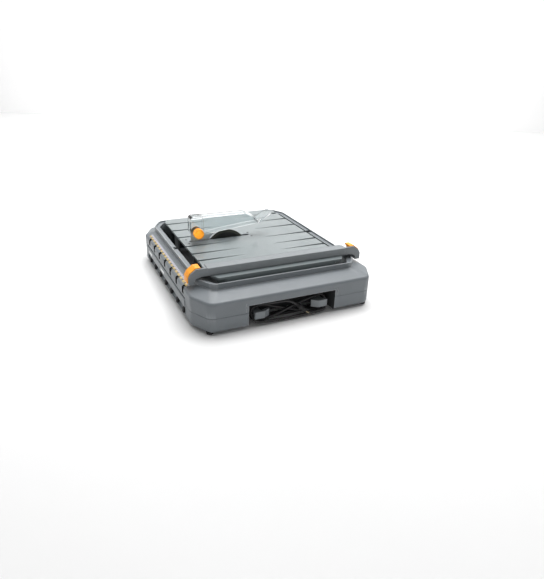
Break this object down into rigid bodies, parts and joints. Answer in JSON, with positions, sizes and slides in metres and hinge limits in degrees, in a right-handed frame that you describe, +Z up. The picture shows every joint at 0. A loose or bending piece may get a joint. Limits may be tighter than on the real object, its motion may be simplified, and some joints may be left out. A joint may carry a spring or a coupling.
{
  "type": "wet tile saw",
  "caption": "Bench-top wet saw for tiles and thin masonry: tray base, grooved table, sliding fence with cam levers, clear blade guard, cord wound in a front recess.",
  "frame": {"origin": "on the surface the saw stands on, under the middle of the housing", "axes": "+Z up, +Y away from the operator along the fence travel, +X to the operator's right; the blade lies in an XZ plane"},
  "size_m": [0.466, 0.5346, 0.174],
  "materials": {
    "housing_plastic": "fine moulded texture",
    "table_coat": "satin grey coating",
    "insert_steel": "brushed",
    "dark_plastic": "moulded",
    "black_plastic": "moulded",
    "orange_plastic": "semi-gloss moulded",
    "clear_plastic": "clear moulded plastic",
    "black_rubber": "soft",
    "cord_rubber": "cable sheath",
    "zinc_steel": "zinc plated",
    "bright_steel": "ground",
    "blade_core": "dark core with a sintered rim",
    "motor_paint": "painted",
    "aluminium": "cast",
    "brass": "nickelled pins",
    "tape": "printed scale",
    "pale_plastic": "moulded",
    "capacitor_can": "can"
  },
  "bodies": {
    "housing": {"base_tray": "housing_plastic", "upper_housing": "housing_plastic", "saw_table": "table_coat", "blade_insert": "insert_steel", "insert_screws": "zinc_steel", "riving_knife": "bright_steel", "knife_bracket": "zinc_steel", "knife_screws": "zinc_steel", "motor_casing": "motor_paint", "motor_stator": "zinc_steel", "motor_cap_front": "aluminium", "motor_cap_rear": "aluminium", "bearing_front": "bright_steel", "bearing_rear": "bright_steel", "shaft_seal": "black_rubber", "motor_saddle_front": "aluminium", "motor_saddle_rear": "aluminium", "splash_panel": "dark_plastic", "run_capacitor": "capacitor_can", "capacitor_clip": "zinc_steel", "terminal_block": "pale_plastic", "switch_housing": "black_plastic", "strain_relief": "black_rubber", "cord_hook_left": "dark_plastic", "cord_hook_right": "dark_plastic", "power_cord": "cord_rubber", "cord_tail": "cord_rubber", "cord_winding": "cord_rubber", "plug_body": "black_rubber", "plug_pins": "brass", "housing_screws": "zinc_steel", "table_screws": "zinc_steel", "tape_scale": "tape", "side_ribs_left": "black_rubber", "side_ribs_right": "black_rubber", "carry_handle": "dark_plastic", "handle_pads": "pale_plastic", "handle_screws": "zinc_steel", "rubber_feet": "black_rubber"},
    "spindle": {"saw_blade": "blade_core", "inner_flange": "bright_steel", "outer_flange": "bright_steel", "arbor_nut": "zinc_steel", "motor_shaft": "bright_steel", "motor_rotor": "zinc_steel", "cooling_fan": "black_plastic"},
    "fence": {"fence_bar": "dark_plastic", "fence_end_left": "dark_plastic", "fence_end_right": "dark_plastic", "lever_pins": "zinc_steel", "fence_screws": "zinc_steel"},
    "lever_left": {"fence_lever_left": "orange_plastic"},
    "lever_right": {"fence_lever_right": "orange_plastic"},
    "guard": {"blade_guard": "clear_plastic", "guard_washer": "zinc_steel", "guard_nut": "zinc_steel"},
    "knob": {"guard_knob": "orange_plastic", "guard_bolt": "zinc_steel"},
    "rocker": {"switch_rocker": "black_plastic"},
    "bung": {"drain_plug": "black_rubber"}
  },
  "joints": [
    {"name": "blade_spin", "type": "hinge", "parent": "housing", "child": "spindle", "pos_m": [-0.0515, 0.0408, 0.0696], "axis": [0, 1, 0], "continuous": true},
    {"name": "fence_slide", "type": "slide", "parent": "housing", "child": "fence", "axis": [0, 1, 0], "range_m": [0, 0.15]},
    {"name": "left_lever_hinge", "type": "hinge", "parent": "fence", "child": "lever_left", "pos_m": [-0.2045, -0.1706, 0.1185], "axis": [0, 1, 0], "range_deg": [0, 60]},
    {"name": "right_lever_hinge", "type": "hinge", "parent": "fence", "child": "lever_right", "pos_m": [0.2045, -0.1706, 0.1185], "axis": [0, -1, 0], "range_deg": [0, 60]},
    {"name": "guard_pivot", "type": "hinge", "parent": "housing", "child": "guard", "pos_m": [-0.1355, 0.0408, 0.1337], "axis": [0, -1, 0], "range_deg": [-8, 40]},
    {"name": "guard_knob_turn", "type": "hinge", "parent": "guard", "child": "knob", "pos_m": [-0.1355, 0.0148, 0.1337], "axis": [0, 1, 0], "continuous": true},
    {"name": "switch_rock", "type": "hinge", "parent": "housing", "child": "rocker", "pos_m": [0.226, -0.1937, 0.059], "axis": [0, 1, 0], "range_deg": [0, 16]},
    {"name": "drain_pull", "type": "slide", "parent": "housing", "child": "bung", "axis": [0, 1, 0], "range_m": [0, 0.014]}
  ]
}
